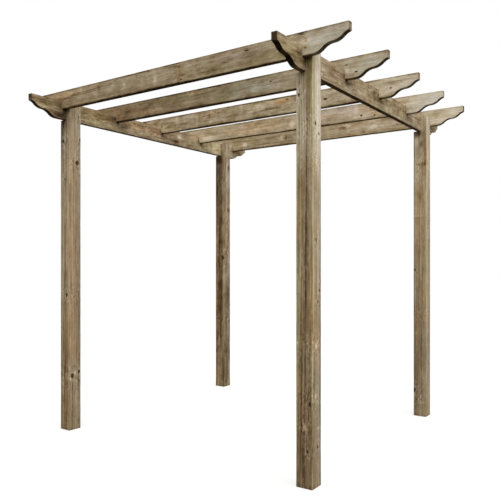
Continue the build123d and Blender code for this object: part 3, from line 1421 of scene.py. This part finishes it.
def rafters(finish: TreatedWood) -> list[Board]:
    """The five rafters, front to back. A brow darkens the upper edge of each, and painted shade the lower
    one, beside the shaded underside.
    """
    face, dead, live = Face.ACROSS_LOW, KnotKind.DEAD, KnotKind.LIVE
    both = ("beam_left", "beam_right")
    grey, silver, rust, olive, resin = Stain.GREY, Stain.SILVER, Stain.RUST, Stain.OLIVE, Stain.RESIN
    brow, soft_brow = ((0, 0, 4000, 8, gain, olive) for gain in (-55, -30))
    # Painted shade along the lower edge of the front face.
    underside_shade = (100, 0, 4000, 6, -55, olive)
    rafter_1 = Board(
        "rafter_1", finish, seed=31.2, pith=(-0.05, 0.01), crossed=both, level=0.66, contrast=0.55,
        mottle=1.6, end=-0.6, shifts=((0.9, 1.0, 0.22),),
        knots=knots(
            face, (20, 135, 12, live), (80, 145, 12, live), (22, 612, 4.2, dead, 3.6),
            (20, -563, 3, dead, 2.0), (22, 132, 5, dead, 1.2), (85, 146, 4, dead, 1.2),
        ),
        streaks=streaks(
            face, (30, -860, 360, 10, 8, rust), (20, -870, 220, 10, 26), (45, -840, 340, 10, -28),
            (50, 140, 50, 45, -20, rust), (70, 380, 180, 22, -26, olive), (50, -660, 300, 60, 7),
            (45, -120, 350, 30, 6), (80, -450, 500, 12, -6), (45, 580, 360, 30, -2, grey),
            (50, 1100, 300, 70, 8, silver), (45, -330, 40, 40, 28), brow, underside_shade, (5, 945, 50, 12, -45),
            (36, 972, 18, 10, -40, rust), (66, 968, 16, 9, -40, rust), (60, -60, 30, 30, 38),
            (20, -730, 30, 12, 55), (40, -550, 30, 30, -28, olive),
        ),
        splits=(Split(face, 0.3, -0.85, -0.25, 0.0016, 0.005),),
    )
    rafter_2 = Board(
        "rafter_2", finish, seed=36.7, pith=(-0.04, -0.12), crossed=both, level=0.48, contrast=0.5,
        mottle=1.3, shifts=((-0.3, 0.7, 0.17), (0.85, 1.0, 0.19)),
        knots=knots(
            face, (14, -175, 10, live, 2.5), (70, -595, 9, live), (40, 450, 4, dead, 2.0),
            (72, 1020, 4.5, dead, 2.0), (33, 960, 3.5, dead, 2.5),
        ),
        streaks=streaks(
            face, (55, -820, 240, 50, -12), brow, underside_shade, (75, -200, 400, 8, 9), (25, 300, 600, 10, -7),
            (50, 100, 1000, 50, 2, silver), (50, 290, 500, 50, 5, silver), (15, -190, 100, 14, 8, rust),
            (75, -550, 160, 8, 18, rust), (45, -600, 50, 40, -10, grey), (50, 80, 50, 50, -10, olive),
            (60, 330, 60, 40, 6), (50, 1080, 300, 70, 10, silver), (25, 1040, 120, 18, -12),
            (60, 960, 30, 30, 16), (45, 1120, 80, 14, 12),
        ),
    )
    rafter_3 = Board(
        "rafter_3", finish, seed=41.9, pith=(-0.045, 0.03), crossed=both, level=0.69, contrast=0.5,
        mottle=1.9, end=-0.6, shifts=((0.9, 1.0, 0.26),),
        knots=knots(
            face, (55, 571, 7, dead, 2.0), (25, 240, 12, live, 3.5), (47, 16, 10, live),
            (40, -370, 14, live), (55, -910, 5, dead, 2.0), (20, 275, 4, dead, 3.0), (55, 1030, 5),
        ),
        streaks=streaks(
            face, (32, 30, 100, 22, 42), (55, 130, 160, 9, -50), brow, underside_shade, (70, -750, 400, 14, -7),
            (35, -550, 300, 14, 6), (22, 235, 140, 14, -16, resin), (50, 550, 500, 60, 8),
            (50, 100, 400, 60, 7), (40, -420, 20, 30, -18), (40, -330, 20, 30, -18), (55, -540, 30, 30, 28),
            (35, -750, 30, 30, 26), (40, -970, 80, 30, -8, rust), (30, -120, 30, 30, 22),
            (60, -200, 50, 30, -12, olive), (30, 1020, 100, 20, -20), (60, 970, 40, 30, 14),
        ),
    )
    rafter_4 = Board(
        "rafter_4", finish, seed=46.4, pith=(-0.055, 0.0), crossed=both, level=0.81, contrast=0.6,
        mottle=1.6, end=-0.5, shifts=((0.85, 1.0, 0.2),),
        knots=knots(
            face, (72, 612, 6), (80, 716, 5), (60, 20, 14, live), (50, -1080, 12, live),
        ),
        streaks=streaks(
            face, (30, 450, 400, 30, 8, grey), (70, -250, 500, 6, -12), (60, -1050, 300, 50, -14, rust),
            (50, 1100, 300, 70, 17, silver), (40, 570, 25, 50, 26), (72, 650, 60, 14, 20),
            (60, -920, 100, 30, 12), (45, -10, 30, 30, -22), (35, -450, 100, 20, 12),
            (70, -820, 160, 18, 55), soft_brow, underside_shade, (64, -300, 260, 13, 45), (60, 20, 50, 16, 65),
            (50, -300, 450, 50, -8, rust),
        ),
    )
    rafter_5 = Board(
        "rafter_5", finish, seed=52.8, pith=(-0.05, -0.03), crossed=both, level=0.65, contrast=0.6,
        mottle=1.5, end=-0.85, shifts=((0.85, 1.0, 0.35),),
        knots=knots(
            face, (25, 266, 10, live), (50, -360, 12, live), (50, 500, 10, live), (60, 700, 4.5, dead, 2.2),
        ),
        streaks=streaks(
            face, (55, 520, 250, 6, 12), (50, -320, 200, 40, -10), (40, 450, 600, 60, 17),
            (50, 1100, 300, 70, 15), (30, 1000, 100, 20, -18), (42, 240, 50, 14, -40),
            (60, 50, 100, 20, -12), (66, -775, 50, 16, 75), soft_brow, underside_shade, (35, -550, 360, 7, -20),
            (78, -520, 300, 7, -16), (50, -370, 40, 20, 40), (55, -330, 20, 30, -26), (25, 270, 50, 12, 50),
            (50, 500, 60, 14, 42),
        ),
    )
    return [rafter_1, rafter_2, rafter_3, rafter_4, rafter_5]


def main() -> None:
    """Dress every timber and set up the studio."""
    logging.basicConfig(level=logging.INFO, format="%(name)s %(message)s")
    uprights, crossings = posts(TreatedWood("post_timber")), rafters(TreatedWood("rafter_timber"))
    for timber in [*uprights, *beams(TreatedWood("beam_timber")), *crossings]:
        timber.dress()
    zinc = ZincPlate()
    Screws("rafter_screws", [seat for rafter in crossings for seat in rafter.seats()], Way.UP, zinc).dress()
    Screws("beam_screws", [seat for post in uprights for seat in post.seats()], Way.LEFT, zinc,
           radius=0.0060, dome=0.0022, rim=0.0018, neck=0.0024, arm=0.0033).dress()
    Studio().build()
    bpy.context.view_layer.update()


if __name__ == "__main__":
    main()
